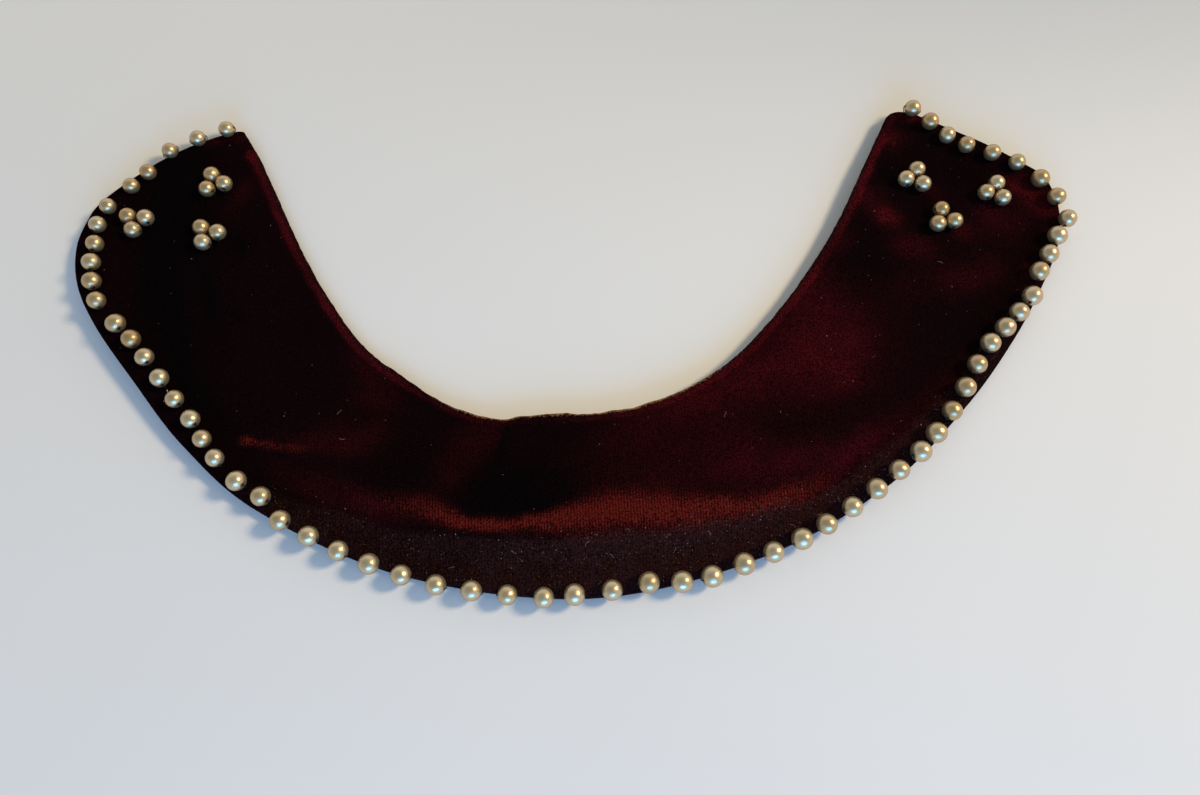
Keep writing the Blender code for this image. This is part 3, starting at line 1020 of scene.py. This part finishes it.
# a place on the velvet's upper side, oftenest in the dusty band
def dustyPlace(draw):
    while True:
        along, over = draw.uniform(*lint["along"]), draw.uniform(*lint["over"])
        edge, dustAndSheenStrength = follow(dustAndSheenLine, along)
        if draw.random() < lint["elsewhere"] + dustAndSheenStrength * ease((over - edge) / lint["border"] + 0.5):
            return clothTree.find_nearest(lyingPoint(along, over) + Vector((0.0, 0.0, 0.01)))[0]


def makeLint():
    draw = random.Random(31)
    specks = bmesh.new()
    for _ in range(lint["specks"]):
        size = lint["size"] * draw.uniform(0.5, 1.0) ** 2 * lint["coarsest"]
        length, width = draw.uniform(*lint["long"]), draw.uniform(*lint["wide"])
        scale = Matrix.Diagonal((length, width, lint["high"], 1.0))
        turn = Matrix.Rotation(draw.uniform(0, math.pi), 4, "Z")
        place = Matrix.Translation(dustyPlace(draw)) @ turn @ scale
        bmesh.ops.create_icosphere(specks, subdivisions=1, radius=size, matrix=place)
    mesh = bpy.data.meshes.new("lintSpecks")
    specks.to_mesh(mesh)
    specks.free()
    addPiece("lintSpecks", mesh, [greyLint])
    fibres = []
    for _ in range(lint["fibres"]):
        start = dustyPlace(draw)
        heading = draw.uniform(0, 2 * math.pi)
        path = [start]
        for _ in range(3):
            heading += draw.uniform(-lint["fibreTurn"], lint["fibreTurn"])
            step = Vector((math.cos(heading), math.sin(heading), 0.0)) * lint["fibreLength"] / 3
            path.append(clothTree.find_nearest(path[-1] + step)[0] + Vector((0.0, 0.0, lint["above"])))
        fibres.append(path)
    makeThreads("lintFibres", fibres, lint["fibreThickness"], greyLint)


stitchPaths = []
for centre, radius, along in drilled + trefoilDrilled:
    stitchPaths += [stitchPath(centre, radius, along), stitchPath(centre, radius, -along)]
makeThreads("stitches", stitchPaths, stitch["thickness"], darkThread)
nubPaths = []
for number, way in nubs:
    centre, radius, along = drilled[number]
    nubPaths.append(nubPath(centre, radius, along * way))
makeThreads("threadEnds", nubPaths, stitch["thickness"], paleThread)
makeLint()
print("stitches and lint done")


view = {
    "place": (-0.002290, -0.138189, 0.283900),
    "tilt": 22.0,
    "turn": -3.049,
    "lens": 27.0,             # with a sensor 36 mm wide
}


def makeCamera():
    camera = bpy.data.objects.new("camera", bpy.data.cameras.new("camera"))
    bpy.context.scene.collection.objects.link(camera)
    camera.data.lens = view["lens"]
    camera.data.sensor_width = 36.0
    camera.data.clip_start = 0.01
    camera.location = view["place"]
    camera.rotation_euler = (math.radians(view["tilt"]), 0.0, math.radians(view["turn"]))
    bpy.context.scene.camera = camera


# azimuth from +X and elevation in degrees, distance and size in metres
lamps = {
    "warmLamp": {
        "azimuth": 6.0, "elevation": 44.0, "distance": 1.9, "size": (0.42, 0.42), "power": 22.7,
        "tint": (1.0, 0.785, 0.47),
    },
    "coolWindow": {
        "azimuth": -84.0, "elevation": 21.0, "distance": 1.1, "size": (1.05, 0.66), "power": 9.9,
        "tint": (0.10, 0.43, 1.0),
    },
}
surroundings = {
    "zenith": (0.240, 0.255, 0.250),
    "horizon": (0.65, 0.675, 0.66),
    "farWall": (0.76, 0.79, 0.82),
}


def makeLamps():
    for name, lamp in lamps.items():
        light = bpy.data.lights.new(name, "AREA")
        light.shape = "ELLIPSE"
        light.size, light.size_y = lamp["size"]
        light.energy = lamp["power"]
        light.color = lamp["tint"]
        holder = bpy.data.objects.new(name, light)
        bpy.context.scene.collection.objects.link(holder)
        azimuth, elevation = math.radians(lamp["azimuth"]), math.radians(lamp["elevation"])
        level = Vector((math.cos(azimuth), math.sin(azimuth), 0.0)) * math.cos(elevation)
        away = level + Vector((0.0, 0.0, math.sin(elevation)))
        holder.location = away * lamp["distance"]
        holder.rotation_euler = away.to_track_quat("Z", "Y").to_euler()
    world = bpy.data.worlds.new("studio")
    world.use_nodes = True
    maker = NodeMaker(world.node_tree)
    heading = maker.add("ShaderNodeTexCoord").outputs["Generated"]
    _, far, up = maker.add("ShaderNodeSeparateXYZ", {0: heading}).outputs
    zenith, horizon, farWall = (colour(*surroundings[part]) for part in ("zenith", "horizon", "farWall"))
    sky = maker.mix(maker.between(up, -0.2, 1.0), horizon, zenith)
    sky = maker.mix(maker.between(far, 0.35, 0.85), sky, farWall)
    maker.tree.links.new(sky, world.node_tree.nodes["Background"].inputs["Color"])
    bpy.context.scene.world = world


makeCamera()
makeLamps()
bpy.context.scene.view_settings.view_transform = "Standard"
print("camera and lamps done")
